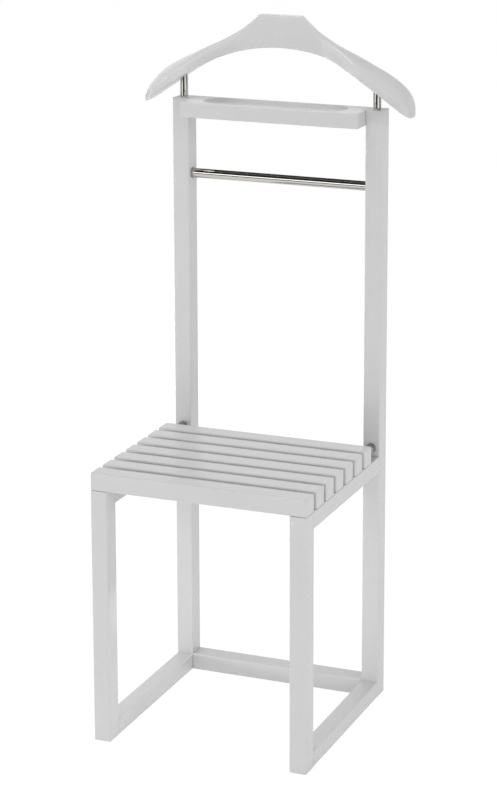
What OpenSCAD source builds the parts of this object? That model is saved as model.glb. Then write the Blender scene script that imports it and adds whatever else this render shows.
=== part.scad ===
// Clothes valet chair: a white-lacquered slatted seat on a timber frame, whose two tall rear
// posts carry a tray rail, a steel trouser bar and, on two steel pins, a contoured coat hanger.
// Millimetres. Origin on the floor under the middle of the frame, +X to the sitter's left as seen
// from the front (the viewer's right), -Y to the front, +Z up.

/* [Frame] */
// Width of the frame over the outer faces of the legs
frame_w = 360; // [300:5:480]
// Depth of the frame from the front of the legs to the back of the posts
frame_d = 360; // [350:5:440]
// Height of the rear posts
post_h = 982; // [900:2:1150]
// Width of a rear post, across the chair
post_w = 28; // [26:1:36]
// Depth of a rear post, front to back
post_d = 32; // [30:1:42]
// Width of a front leg, across the chair
leg_w = 28; // [26:1:36]
// Depth of a front leg, front to back
leg_d = 32; // [30:1:38]
// Width of the side rails, across the chair
rail_w = 28; // [26:1:34]
// Height of the floor-level side rails
floor_rail_h = 26; // [20:1:40]
// Height of the rails under the seat slats
seat_rail_h = 27; // [20:1:40]
// Height of the stretcher between the posts at the floor
stretcher_h = 28; // [24:1:45]
// Radius of the eased long edges of the timber
edge_r = 1.6; // [0.8:0.2:3]

/* [Seat] */
// Height of the seat's top face above the floor
seat_h = 444; // [400:2:480]
// Thickness of a slat
slat_t = 29; // [22:1:34]
// Width of a slat, front to back
slat_d = 32; // [28:1:34]
// Open gap between two slats
slat_gap = 11; // [6:0.5:12]
// Outer diameter of the steel sleeves between the last slat and the posts
sleeve_od = 16; // [12:1:20]

/* [Tray rail] */
// Height of the tray rail
tray_h = 25; // [20:1:36]
// How far the tray rail stands out in front of the posts
tray_reach = 36; // [20:1:60]
// Depth of the trough cut in its top
trough_depth = 6; // [3:0.5:10]
// Timber left in front of and behind the trough
trough_rim = 7; // [4:0.5:12]
// Timber left at each end of the trough
trough_end = 30; // [12:1:60]
// Radius of the trough's corners in plan
trough_r = 26; // [6:1:26]

/* [Trouser bar] */
// Height of the bar's centre above the floor
bar_z = 857; // [760:1:880]
// Outer diameter of the bar
bar_od = 16; // [12:1:20]
// Wall of the steel tube
bar_wall = 1.5; // [1:0.1:2.5]
// How deep each end of the bar sits in its post
bar_bite = 12; // [6:1:18]

/* [Hanger] */
// Overall width of the hanger
hanger_w = 458; // [420:2:480]
// Height of the underside of its crown above the post tops
arch_rise = 88; // [84:1:100]
// Height of the timber in the middle of the crown
crown_h = 52; // [44:1:60]
// Width of the flat on top of the crown
crown_w = 70; // [56:2:90]
// Thickness of the crown, front to back
crown_t = 18; // [14:1:30]
// How far the hanger's flat back stands behind the middle of its pins
back_reach = 16; // [12:1:16]
// Thickness of the shoulders, front to back
shoulder_t = 44; // [34:1:48]
// Radius of the arch under the crown
arch_r = 276; // [240:4:300]
// Downward angle of the underside of the wings
wing_angle = 34.5; // [31:0.5:36]
// Downward angle of the top of the wings
shoulder_angle = 23.5; // [22:0.5:28]
// Angle at which the crown's flanks leave its top
neck_angle = 44; // [40:1:55]
// Width of each concave flank beside the crown
neck_run = 66; // [56:2:80]
// Width over which each wing thickens from the crown to the shoulder
flare_run = 80; // [60:5:100]
// Width over which each shoulder rounds down to its tip
shoulder_run = 62; // [30:2:66]
// Height of the front edge at the shoulders, of which the upper part is rounded away
lip_t = 24; // [5:1:26]
// Radius under each tip
tip_r = 4; // [4:0.5:9]
// Radius of the tips' front corners seen from above
plan_r = 18; // [8:1:20]
// Radius of the tips' back corners seen from above
plan_back_r = 18; // [6:1:18]
// Diameter of the steel pins that carry the hanger
pin_d = 13; // [9:1:14]
// Diameter of the pins' shanks in the posts
shank_d = 8; // [6:1:9]
// How deep the shanks sit in the posts
shank_bite = 25; // [15:1:40]
// How deep the pins sit in the hanger
pin_bite = 14; // [8:1:16]

/* [Joints] */
// Diameter of the frame's wooden dowels
dowel_d = 8; // [6:1:9]
// Length of the frame's wooden dowels
dowel_l = 30; // [24:1:34]
// Distance between the two dowels of a rail end
dowel_pitch = 14; // [12:1:16]
// Diameter of the dowels that hold the tray rail
tray_dowel_d = 6; // [5:0.5:7]
// Diameter of the bolts through the sleeves
bolt_d = 6; // [5:1:8]
// Diameter of the bolts' heads
bolt_head_d = 10; // [9:0.5:14]
// Height of the bolts' heads
bolt_head_h = 6; // [4:0.5:8]
// Outer diameter of the threaded inserts in the last slat
insert_od = 9; // [8.5:0.5:12]
// Length of the threaded inserts
insert_l = 14; // [10:1:20]
// Diameter of the slat screws' shanks
screw_d = 4; // [3.5:0.5:5]
// Length of the slat screws
screw_l = 40; // [34:1:46]
// Diameter of the slat screws' countersunk heads
screw_head_d = 8; // [7:0.5:10]

/* [Hidden] */
// Play on the diameter of everything that sits in a hole
play = 0.1;
// Air left at the end of a blind hole
end_air = 0.5;
// Extra length of a cut past the face that it opens
cut = 1;
// Timber left between two crossing dowels or between a dowel and a face
cover = 2;

// Faces of the frame
side_x = frame_w / 2;
front_y = -frame_d / 2;
back_y = frame_d / 2;
post_x = side_x - post_w / 2;
post_y = back_y - post_d / 2;
post_front_y = back_y - post_d;
post_inner_x = side_x - post_w;
leg_x = side_x - leg_w / 2;
leg_back_y = front_y + leg_d;
leg_h = seat_h - slat_t;
rail_x = side_x - rail_w / 2;
rail_l = post_front_y - leg_back_y;
rail_y = (post_front_y + leg_back_y) / 2;

// Slats
slat_count = 7;
slat_pitch = slat_d + slat_gap;
seat_d = slat_count * slat_d + (slat_count - 1) * slat_gap;
slat_back_y = front_y + seat_d;
slat_mid_z = seat_h - slat_t / 2;
function slat_y(i) = front_y + slat_d / 2 + (i - 1) * slat_pitch;

// Dowels and their places
hole_l = dowel_l / 2 + end_air;
leg_dowel_y = leg_back_y - hole_l - cover - dowel_d / 2;
stretcher_dowel_y = post_front_y + hole_l + cover + dowel_d / 2;
stretcher_dowel_gap = min(dowel_pitch, stretcher_h - dowel_d - 2 * cover);
tray_dowel_x = shank_d / 2 + cover + tray_dowel_d / 2;
tray_dowel_z = post_h - tray_h / 2;

// Sleeves, their bolts and inserts
sleeve_l = post_front_y - slat_back_y;
sleeve_bore = bolt_d + 2 * play;
head_recess = bolt_head_h + end_air;
bolt_tip_y = slat_back_y - insert_l;
bolt_seat_y = back_y - head_recess;

// Slat screws
screw_head_h = (screw_head_d - screw_d) / 2;
screw_point = screw_d;
screw_foot_z = leg_h - seat_rail_h;

// Tray rail
tray_d = post_d + tray_reach;
tray_l = 2 * post_inner_x;
tray_y = back_y - tray_d / 2;
tray_z = post_h - tray_h / 2;
trough_l = tray_l - 2 * trough_end;
trough_w = tray_d - 2 * trough_rim;
trough_corner = min(trough_r, trough_w / 2 - cut);

// Hanger outline, for x measured from the middle
hanger_back_y = post_y + back_reach;
arch_z = post_h + arch_rise;
crown_z = arch_z + crown_h;
tip_x = hanger_w / 2;
arch_end_x = arch_r * sin(wing_angle);
arch_end_z = arch_z - arch_r * (1 - cos(wing_angle));
neck_x = crown_w / 2;
neck_end_x = neck_x + neck_run;
neck_r = neck_run / (sin(neck_angle) - sin(shoulder_angle));
neck_end_z = crown_z - neck_r * (cos(shoulder_angle) - cos(neck_angle));
shoulder_x = tip_x - shoulder_run;
shoulder_drop = slope_z(tip_x) - under_line(tip_x) - tip_r;
shoulder_power = 2.6;
// Rounding of the hanger's corners, at the crown and at the shoulders
crown_r = 2.5;
back_foot_r = 4;
back_top_r = 18;
ridge_r = 7;
front_foot_r = 3;
corner_steps = 6;
corner_share = 0.45;
lip_share = 0.6;
// How much of the slope behind the front ridge, and of the front below it, is domed
dome_share = 0.4;
front_share = 0.5;
plan_front = min(plan_r, corner_share * shoulder_t);
plan_back = min(plan_back_r, corner_share * shoulder_t);
// The front of each wing sinks to a thin edge between these places
ridge_start_x = neck_x + neck_run / 2;
ridge_end_x = shoulder_x + shoulder_run / 2;

function ease(t) = let (u = min(1, max(0, t))) u * u * (3 - 2 * u);
function under_line(x) = x < arch_end_x ? arch_z - arch_r + sqrt(arch_r * arch_r - x * x)
    : arch_end_z - (x - arch_end_x) * tan(wing_angle);
function tip_lift(x) = let (d = x - (tip_x - tip_r))
    d <= 0 ? 0 : tip_r - sqrt(max(0, tip_r * tip_r - d * d));
function under_z(x) = under_line(x) + tip_lift(x);
function neck_z(x) = let (s = sin(neck_angle) - (x - neck_x) / neck_r)
    crown_z - neck_r * (sqrt(1 - s * s) - cos(neck_angle));
function slope_z(x) = neck_end_z - (x - neck_end_x) * tan(shoulder_angle);
function shoulder_fall(x) = let (u = max(0, (x - shoulder_x) / shoulder_run))
    shoulder_drop * (1 - pow(max(0, 1 - pow(u, shoulder_power)), 1 / shoulder_power));
function top_z(x) = x <= neck_x ? crown_z
    : x <= neck_end_x ? neck_z(x) : slope_z(x) - shoulder_fall(x);
function plan_in(x, r) = let (d = x - (tip_x - r)) d <= 0 ? 0 : r - sqrt(max(0, r * r - d * d));
function back_y_at(x) = hanger_back_y - plan_in(x, plan_back);
function front_y_at(x) = hanger_back_y - thick(x) + plan_in(x, plan_front);
function thick(x) = crown_t
    + (shoulder_t - crown_t) * ease((x - ridge_start_x) / flare_run);
function ridge(x) = ease((x - ridge_start_x) / (ridge_end_x - ridge_start_x));
function front_h(x) = let (h = top_z(x) - under_z(x), r = ridge(x))
    h * (1 - r) + min(lip_t, lip_share * h) * r;

pin_top_z = under_z(post_x) + pin_bite;

// One cross-section of the hanger as [y, z] corners: back foot, back top, front ridge, front foot
function corners(x) = let (b = back_y_at(x), f = front_y_at(x), lo = under_z(x), hi = top_z(x))
    [[b, lo], [b, hi], [f, lo + front_h(x)], [f, lo]];
// How much of each corner is rounded away
function corner_r(x) = let (w = ease((x - neck_x) / neck_run), h = top_z(x) - under_z(x),
    t = back_y_at(x) - front_y_at(x), most = corner_share * min(h, t),
    front_most = min(most, corner_share * front_h(x)))
    [for (r = [back_foot_r, back_top_r]) min(most, crown_r + (r - crown_r) * w),
     for (r = [ridge_r, front_foot_r]) min(front_most, crown_r + (r - crown_r) * w)];
// On the wings the ridge is rounded far back along the slope and far down the front
function domed(x) = ease((x - neck_x) / neck_run);
function before_r(x) = let (c = corners(x), r = corner_r(x))
    [r[0], r[1], max(r[2], dome_share * domed(x) * norm(c[2] - c[1])), r[3]];
function after_r(x) = let (r = corner_r(x))
    [r[0], r[1], max(r[2], front_share * domed(x) * front_h(x)), r[3]];
function toward(p, q, r) = p + (q - p) * r / norm(q - p);
function round_corner(a, p, b, ra, rb) = let (s = toward(p, a, ra), e = toward(p, b, rb))
    [for (i = [0 : corner_steps]) let (t = i / corner_steps)
        (1 - t) * (1 - t) * s + 2 * t * (1 - t) * p + t * t * e];
function ring(x) = let (c = corners(abs(x)), ra = before_r(abs(x)), rb = after_r(abs(x)))
    [for (i = [0 : 3])
        for (p = round_corner(c[(i + 3) % 4], c[i], c[(i + 1) % 4], ra[i], rb[i])) [x, p[0], p[1]]];
// Where the sections stand, with the last one just short of the tip
tip_flat = 0.3;
half_stations = concat(
    [for (i = [0 : 2]) neck_x * i / 2],
    [for (i = [1 : 6]) neck_x + neck_run * i / 6],
    [for (i = [1 : 4]) neck_end_x + (shoulder_x - neck_end_x) * i / 4],
    [for (i = [1 : 10]) shoulder_x + (shoulder_run - tip_flat) * sin(90 * i / 10)]);
last = len(half_stations) - 1;
stations = concat([for (i = [last : -1 : 1]) -half_stations[i]], half_stations);

lacquer = [0.84, 0.84, 0.84];
steel = [0.70, 0.70, 0.69];
zinc = [0.55, 0.56, 0.57];
beech = [0.80, 0.66, 0.47];
$fn = 48;

// A rectangle with round corners, centred
module round_rect(w, h, r) {
    square([w - 2 * r, h], center = true);
    square([w, h - 2 * r], center = true);
    for (sx = [-1, 1]) for (sy = [-1, 1])
        translate([sx * (w / 2 - r), sy * (h / 2 - r)]) circle(r);
}
module eased(w, h) { round_rect(w, h, edge_r); }

// Bars with eased long edges, centred on the origin, along each axis
module bar_x(l, d, h) { rotate([90, 0, 90]) linear_extrude(l, center = true) eased(d, h); }
module bar_y(w, l, h) { rotate([90, 0, 0]) linear_extrude(l, center = true) eased(w, h); }
module bar_z_up(w, d, l) { linear_extrude(l) eased(w, d); }

// Round bars of a given diameter that start at the origin and run along an axis
module rod_x(d, l) { rotate([0, 90, 0]) cylinder(d = d, h = l); }
module rod_y(d, l) { rotate([-90, 0, 0]) cylinder(d = d, h = l); }

// Places of the dowels; the same places serve the dowels and their holes
module rail_dowel_spots(z) {
    for (s = [-1, 1]) for (o = [-1, 1]) for (y = [leg_back_y, post_front_y])
        translate([s * rail_x + o * dowel_pitch / 2, y, z]) children();
}
module rail_dowels(z, d, half_l) {
    rail_dowel_spots(z) translate([0, -half_l, 0]) rod_y(d, 2 * half_l);
}
module stretcher_dowel_set(d, half_l) {
    for (s = [-1, 1]) for (o = [-1, 1])
        translate([s * post_inner_x - half_l, stretcher_dowel_y,
            stretcher_h / 2 + o * stretcher_dowel_gap / 2]) rod_x(d, 2 * half_l);
}
module tray_dowel_set(d, half_l) {
    for (s = [-1, 1]) for (o = [-1, 1])
        translate([s * post_inner_x - half_l, post_y + o * tray_dowel_x, tray_dowel_z])
            rod_x(d, 2 * half_l);
}
module leg_top_dowel_set(d, half_l) {
    for (s = [-1, 1]) translate([s * leg_x, leg_dowel_y, leg_h - half_l])
        cylinder(d = d, h = 2 * half_l);
}
module floor_dowel_holes() { rail_dowels(floor_rail_h / 2, dowel_d + play, hole_l); }
module seat_dowel_holes() { rail_dowels(leg_h - seat_rail_h / 2, dowel_d + play, hole_l); }

// Bore of one slat screw through its rail, with the countersink, and on into the slat
module screw_bore(s, i) {
    translate([s * rail_x, slat_y(i), screw_foot_z]) {
        translate([0, 0, -cut]) cylinder(d = screw_d + play, h = screw_l + end_air + cut);
        translate([0, 0, -play]) cylinder(d1 = screw_head_d + 2 * play, d2 = screw_d,
            h = screw_head_h + play);
    }
}

module rear_post(s) {
    color(lacquer) difference() {
        translate([s * post_x, post_y, 0]) bar_z_up(post_w, post_d, post_h);
        floor_dowel_holes();
        seat_dowel_holes();
        stretcher_dowel_set(dowel_d + play, hole_l);
        tray_dowel_set(tray_dowel_d + play, hole_l);
        translate([s * post_inner_x, post_y, bar_z]) translate([-bar_bite - end_air, 0, 0])
            rod_x(bar_od + play, 2 * (bar_bite + end_air));
        translate([s * post_x, post_front_y - cut, slat_mid_z])
            rod_y(bolt_d + 2 * play, post_d + 2 * cut);
        translate([s * post_x, bolt_seat_y, slat_mid_z])
            rod_y(bolt_head_d + 4 * play, head_recess + cut);
        translate([s * post_x, post_y, post_h - shank_bite - end_air])
            cylinder(d = shank_d + play, h = shank_bite + end_air + cut);
    }
}

module front_leg(s) {
    color(lacquer) difference() {
        translate([s * leg_x, front_y + leg_d / 2, 0]) bar_z_up(leg_w, leg_d, leg_h);
        floor_dowel_holes();
        seat_dowel_holes();
        leg_top_dowel_set(dowel_d + play, hole_l);
    }
}

module floor_rail(s) {
    color(lacquer) difference() {
        translate([s * rail_x, rail_y, floor_rail_h / 2]) bar_y(rail_w, rail_l, floor_rail_h);
        floor_dowel_holes();
    }
}

module seat_rail(s) {
    color(lacquer) difference() {
        translate([s * rail_x, rail_y, leg_h - seat_rail_h / 2])
            bar_y(rail_w, rail_l, seat_rail_h);
        seat_dowel_holes();
        for (i = [2 : slat_count]) screw_bore(s, i);
    }
}

module rear_stretcher() {
    color(lacquer) difference() {
        translate([0, post_y, stretcher_h / 2]) bar_x(2 * post_inner_x, post_d, stretcher_h);
        stretcher_dowel_set(dowel_d + play, hole_l);
    }
}

module seat_slat(i) {
    color(lacquer) difference() {
        translate([0, slat_y(i), slat_mid_z]) bar_x(frame_w, slat_d, slat_t);
        if (i == 1) leg_top_dowel_set(dowel_d + play, hole_l);
        else for (s = [-1, 1]) screw_bore(s, i);
        if (i == slat_count) for (s = [-1, 1])
            translate([s * post_x, slat_back_y - insert_l - end_air, slat_mid_z])
                rod_y(insert_od + play, insert_l + end_air + cut);
    }
}

module tray_rail() {
    color(lacquer) difference() {
        translate([0, tray_y, tray_z]) bar_x(tray_l, tray_d, tray_h);
        translate([0, tray_y, post_h - trough_depth]) linear_extrude(trough_depth + cut)
            round_rect(trough_l, trough_w, trough_corner);
        tray_dowel_set(tray_dowel_d + play, hole_l);
    }
}

module trouser_bar() {
    bar_l = 2 * (post_inner_x + bar_bite);
    color(steel) translate([-bar_l / 2, post_y, bar_z]) difference() {
        rod_x(bar_od, bar_l);
        translate([-cut, 0, 0]) rod_x(bar_od - 2 * bar_wall, bar_l + 2 * cut);
    }
}

module hanger() {
    rings = [for (x = stations) ring(x)];
    n = len(rings[0]);
    m = len(rings);
    walls = [for (j = [0 : m - 2]) for (i = [0 : n - 1]) let (k = (i + 1) % n)
        each [[j * n + i, j * n + k, (j + 1) * n + k], [j * n + i, (j + 1) * n + k, (j + 1) * n + i]]];
    caps = [[for (i = [n - 1 : -1 : 0]) i], [for (i = [0 : n - 1]) (m - 1) * n + i]];
    color(lacquer) difference() {
        polyhedron([for (r = rings) each r], concat(walls, caps));
        for (s = [-1, 1]) translate([s * post_x, post_y, post_h])
            cylinder(d = pin_d + play, h = pin_top_z - post_h + end_air);
    }
}

// A shouldered pin: its shank is in the post, its body runs up into the hanger
module hanger_pin(s) {
    color(steel) translate([s * post_x, post_y, post_h]) {
        cylinder(d = pin_d, h = pin_top_z - post_h);
        translate([0, 0, -shank_bite]) cylinder(d = shank_d, h = shank_bite + cut);
    }
}

module seat_sleeve(s) {
    color(steel) translate([s * post_x, slat_back_y, slat_mid_z]) difference() {
        rod_y(sleeve_od, sleeve_l);
        translate([0, -cut, 0]) rod_y(sleeve_bore, sleeve_l + 2 * cut);
    }
}

// A socket-head bolt from the back of the post through the sleeve into the last slat
module seat_bolt(s) {
    socket_d = bolt_d * 0.95;
    color(zinc) translate([s * post_x, bolt_tip_y, slat_mid_z]) difference() {
        union() {
            rod_y(bolt_d, bolt_seat_y - bolt_tip_y + cut);
            translate([0, bolt_seat_y - bolt_tip_y, 0]) rod_y(bolt_head_d, bolt_head_h);
        }
        translate([0, bolt_seat_y - bolt_tip_y + bolt_head_h / 2, 0]) rotate([-90, 0, 0])
            cylinder(d = socket_d, h = bolt_head_h, $fn = 6);
    }
}

module seat_bolt_inserts() {
    color(zinc) for (s = [-1, 1])
        translate([s * post_x, slat_back_y - insert_l, slat_mid_z]) difference() {
            rod_y(insert_od, insert_l);
            translate([0, -cut, 0]) rod_y(bolt_d + play, insert_l + 2 * cut);
        }
}

module floor_rail_dowels() { color(beech) rail_dowels(floor_rail_h / 2, dowel_d, dowel_l / 2); }
module seat_rail_dowels() {
    color(beech) rail_dowels(leg_h - seat_rail_h / 2, dowel_d, dowel_l / 2);
}
module stretcher_dowels() { color(beech) stretcher_dowel_set(dowel_d, dowel_l / 2); }
module tray_dowels() { color(beech) tray_dowel_set(tray_dowel_d, dowel_l / 2); }
module leg_top_dowels() { color(beech) leg_top_dowel_set(dowel_d, dowel_l / 2); }

module slat_screws() {
    color(zinc) for (s = [-1, 1]) for (i = [2 : slat_count])
        translate([s * rail_x, slat_y(i), screw_foot_z]) {
            cylinder(d1 = screw_head_d, d2 = screw_d, h = screw_head_h);
            translate([0, 0, screw_head_h / 2])
                cylinder(d = screw_d, h = screw_l - screw_point - screw_head_h / 2);
            translate([0, 0, screw_l - screw_point])
                cylinder(d1 = screw_d, d2 = screw_d / 4, h = screw_point);
        }
}

rear_post(-1);  // rear_post_left
rear_post(1);  // rear_post_right
front_leg(-1);  // front_leg_left
front_leg(1);  // front_leg_right
floor_rail(-1);  // floor_rail_left
floor_rail(1);  // floor_rail_right
seat_rail(-1);  // seat_rail_left
seat_rail(1);  // seat_rail_right
rear_stretcher();
seat_slat(1);  // seat_slat_1
seat_slat(2);  // seat_slat_2
seat_slat(3);  // seat_slat_3
seat_slat(4);  // seat_slat_4
seat_slat(5);  // seat_slat_5
seat_slat(6);  // seat_slat_6
seat_slat(7);  // seat_slat_7
tray_rail();
trouser_bar();
hanger();
hanger_pin(-1);  // hanger_pin_left
hanger_pin(1);  // hanger_pin_right
seat_sleeve(-1);  // seat_sleeve_left
seat_sleeve(1);  // seat_sleeve_right
seat_bolt(-1);  // seat_bolt_left
seat_bolt(1);  // seat_bolt_right
seat_bolt_inserts();
floor_rail_dowels();
seat_rail_dowels();
stretcher_dowels();
tray_dowels();
leg_top_dowels();
slat_screws();
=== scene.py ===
"""The looks of a clothes valet chair: white lacquered timber, polished steel and a contoured hanger."""

import json
import math

import bmesh
import bpy
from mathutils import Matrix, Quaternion, Vector

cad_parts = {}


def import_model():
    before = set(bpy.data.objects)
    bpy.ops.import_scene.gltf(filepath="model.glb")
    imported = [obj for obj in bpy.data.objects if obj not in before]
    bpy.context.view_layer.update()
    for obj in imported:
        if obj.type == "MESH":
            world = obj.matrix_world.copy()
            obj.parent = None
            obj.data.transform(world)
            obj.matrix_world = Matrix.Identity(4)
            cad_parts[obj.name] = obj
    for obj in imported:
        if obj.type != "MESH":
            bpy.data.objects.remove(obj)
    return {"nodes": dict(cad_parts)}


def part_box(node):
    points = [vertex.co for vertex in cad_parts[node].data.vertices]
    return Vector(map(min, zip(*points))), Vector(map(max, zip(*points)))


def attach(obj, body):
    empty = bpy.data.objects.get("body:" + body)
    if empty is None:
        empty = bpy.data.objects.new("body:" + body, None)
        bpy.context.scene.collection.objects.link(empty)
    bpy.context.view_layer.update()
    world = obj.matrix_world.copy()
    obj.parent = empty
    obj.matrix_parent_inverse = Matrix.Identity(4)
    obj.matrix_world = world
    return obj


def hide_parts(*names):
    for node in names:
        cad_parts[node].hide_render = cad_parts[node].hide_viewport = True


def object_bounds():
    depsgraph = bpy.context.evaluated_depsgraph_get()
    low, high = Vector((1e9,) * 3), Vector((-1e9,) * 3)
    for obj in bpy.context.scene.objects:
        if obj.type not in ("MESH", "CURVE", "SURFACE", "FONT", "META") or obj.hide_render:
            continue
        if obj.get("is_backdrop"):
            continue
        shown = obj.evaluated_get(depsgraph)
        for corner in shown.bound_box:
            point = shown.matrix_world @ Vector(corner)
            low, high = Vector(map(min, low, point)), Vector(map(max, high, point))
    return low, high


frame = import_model()
CAD_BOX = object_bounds()
CAD = frame["nodes"]
BODY = "root"
MM = 0.001
AXES = {"x": 0, "y": 1, "z": 2}


# ---------------------------------------------------------------------------------------------
# Node trees written as expressions
# ---------------------------------------------------------------------------------------------


class Value:
    """An output in a node tree. Python's operators on it add Math or Vector Math nodes."""

    def __init__(self, graph, socket):
        self.graph, self.socket = graph, socket

    def __add__(self, other):
        return self.graph.maths("ADD", self, other)

    def __sub__(self, other):
        return self.graph.maths("SUBTRACT", self, other)

    def __rsub__(self, other):
        return self.graph.maths("SUBTRACT", other, self)

    def __mul__(self, other):
        return self.graph.maths("MULTIPLY", self, other)

    __radd__ = __add__
    __rmul__ = __mul__


class Graph:
    """Adds nodes to a tree: maths() for sums, add() for every other node."""

    def __init__(self, tree):
        self.tree = tree

    def feed(self, socket, value):
        if isinstance(value, Value):
            self.tree.links.new(value.socket, socket)
        else:
            socket.default_value = value

    def add(self, kind, settings=None, inputs=None):
        """A new node; its settings go first, then the values or links of its sockets."""
        node = self.tree.nodes.new(kind)
        for name, setting in (settings or {}).items():
            setattr(node, name, setting)
        for name, value in (inputs or {}).items():
            self.feed(node.inputs[name], value)
        return node

    def out(self, kind, output, settings=None, inputs=None):
        return Value(self, self.add(kind, settings, inputs).outputs[output])

    def maths(self, operation, *terms):
        """One Math node, or one Vector Math node where a term is a vector."""
        vector = any(
            isinstance(t, tuple) or isinstance(t, Value) and t.socket.type == "VECTOR" for t in terms
        )
        kind = "ShaderNodeVectorMath" if vector else "ShaderNodeMath"
        node = self.tree.nodes.new(kind)
        node.operation = operation
        for socket, term in zip(node.inputs, terms):
            if vector and isinstance(term, (int, float)):
                term = (term,) * 3
            self.feed(socket, term)
        return Value(self, node.outputs[0])

    def group_inputs(self, sockets):
        """Named inputs of a tree: {name: socket type}. Returns {name: Value}."""
        for name, kind in sockets.items():
            self.tree.interface.new_socket(name=name, in_out="INPUT", socket_type=kind)
        entry = self.tree.nodes.new("NodeGroupInput")
        return {name: Value(self, entry.outputs[name]) for name in sockets}

    def group_output(self, geometry):
        self.tree.interface.new_socket(
            name="Geometry", in_out="OUTPUT", socket_type="NodeSocketGeometry"
        )
        self.feed(self.tree.nodes.new("NodeGroupOutput").inputs["Geometry"], geometry)


# ---------------------------------------------------------------------------------------------
# Materials
# ---------------------------------------------------------------------------------------------

LACQUER_COLOUR = (0.60, 0.60, 0.605)
LACQUER_SHADE = (0.56, 0.56, 0.57)
STEEL_COLOUR = (0.56, 0.545, 0.52)
# The sleeves' satin steel: its darker base colour is painted shade, standing for the shaded post the
# sleeves reflect
SATIN_PAINTED_SHADE_COLOUR = (0.30, 0.30, 0.31)
ZINC_COLOUR = (0.50, 0.51, 0.52)
BEECH_LIGHT = (0.66, 0.49, 0.31)
BEECH_DARK = (0.50, 0.34, 0.20)
LACQUER_ROUGHNESS = 0.27
STEEL_ROUGHNESS = 0.07
SATIN_ROUGHNESS = 0.26
ZINC_ROUGHNESS = 0.42
BEECH_ROUGHNESS = 0.68
# How far a pattern is drawn out along its piece
GRAIN_STRETCH = 24.0
POLISH_STRETCH = 60.0
# Scales of the patterns, in waves a metre
CLOUD_SCALE = 7.0
GRAIN_SCALE = 700.0
PEEL_SCALE = 620.0
POLISH_SCALE = 2600.0
HAZE_SCALE = 60.0
SPANGLE_SCALE = 420.0
FLECK_SCALE = 900.0


def opaque(colour):
    return (*colour, 1.0)


def start_material(name):
    material = bpy.data.materials.new(name)
    material.use_nodes = True
    material.node_tree.nodes.clear()
    return material, Graph(material.node_tree)


def noise(graph, place, scale, detail=2.0, roughness=0.5):
    return graph.out(
        "ShaderNodeTexNoise",
        "Fac",
        None,
        {"Vector": place, "Scale": scale, "Detail": detail, "Roughness": roughness},
    )


def stretched_place(graph, axis, stretch):
    """Object coordinates drawn out along one axis, so that a pattern runs along it."""
    place = graph.out("ShaderNodeTexCoord", "Object")
    scale = [1.0, 1.0, 1.0]
    scale[AXES[axis]] = 1.0 / stretch
    return place, graph.out("ShaderNodeMapping", "Vector", None, {"Vector": place, "Scale": scale})


def blend_colours(graph, factor, first, second):
    return graph.out(
        "ShaderNodeMix",
        2,
        {"data_type": "RGBA"},
        {0: factor, 6: opaque(first), 7: opaque(second)},
    )


def bump(graph, height, distance, strength):
    return graph.out(
        "ShaderNodeBump",
        "Normal",
        None,
        {"Height": height, "Distance": distance, "Strength": strength},
    )


def finish_material(graph, **sockets):
    shader = graph.add("ShaderNodeBsdfPrincipled")
    for name, value in sockets.items():
        graph.feed(shader.inputs[name.replace("_", " ")], value)
    graph.add("ShaderNodeOutputMaterial", None, {"Surface": Value(graph, shader.outputs[0])})


def white_lacquer(axis):
    """Sprayed satin lacquer: a slight orange peel, with the grain of the wood just showing."""
    material, graph = start_material("white_lacquer_" + axis)
    place, along = stretched_place(graph, axis, GRAIN_STRETCH)
    cloud = noise(graph, place, CLOUD_SCALE)
    grain = noise(graph, along, GRAIN_SCALE, 3.0, 0.6)
    peel = noise(graph, place, PEEL_SCALE, 1.0)
    shade = (cloud - 0.5) * 0.8 + (grain - 0.5) * 0.2 + 0.35
    finish_material(
        graph,
        Base_Color=blend_colours(graph, shade, LACQUER_COLOUR, LACQUER_SHADE),
        Roughness=(peel - 0.5) * 0.02 + (grain - 0.5) * 0.02 + LACQUER_ROUGHNESS,
        Normal=bump(graph, peel * 0.6 + grain * 0.4, 0.02 * MM, 0.05),
    )
    return material


def polished_steel(axis, colour=STEEL_COLOUR, roughness=STEEL_ROUGHNESS, name="polished_steel_"):
    """Polished steel with the faint lines of its polishing along an axis."""
    material, graph = start_material(name + axis)
    place, along = stretched_place(graph, axis, POLISH_STRETCH)
    lines = noise(graph, along, POLISH_SCALE)
    haze = noise(graph, place, HAZE_SCALE)
    finish_material(
        graph,
        Base_Color=opaque(colour),
        Metallic=1.0,
        Roughness=(lines - 0.5) * 0.05 + (haze - 0.5) * 0.03 + roughness,
        Normal=bump(graph, lines, 0.01 * MM, 0.03),
    )
    return material


def zinc_steel():
    """Zinc plate with its faint spangle."""
    material, graph = start_material("zinc_steel")
    place = graph.out("ShaderNodeTexCoord", "Object")
    spangle = noise(graph, place, SPANGLE_SCALE, 3.0)
    finish_material(
        graph,
        Base_Color=opaque(ZINC_COLOUR),
        Metallic=1.0,
        Roughness=(spangle - 0.5) * 0.2 + ZINC_ROUGHNESS,
        Normal=bump(graph, spangle, 0.03 * MM, 0.3),
    )
    return material


def beech():
    """Bare beech of the dowels: fine dark flecks on a pale ground."""
    material, graph = start_material("beech")
    place = graph.out("ShaderNodeTexCoord", "Object")
    flecks = noise(graph, place, FLECK_SCALE, 4.0, 0.7)
    finish_material(
        graph,
        Base_Color=blend_colours(graph, flecks, BEECH_LIGHT, BEECH_DARK),
        Roughness=(flecks - 0.5) * 0.2 + BEECH_ROUGHNESS,
        Normal=bump(graph, flecks, 0.1 * MM, 0.4),
    )
    return material


LACQUER = {axis: white_lacquer(axis) for axis in AXES}
STEEL = {axis: polished_steel(axis) for axis in AXES}
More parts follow.
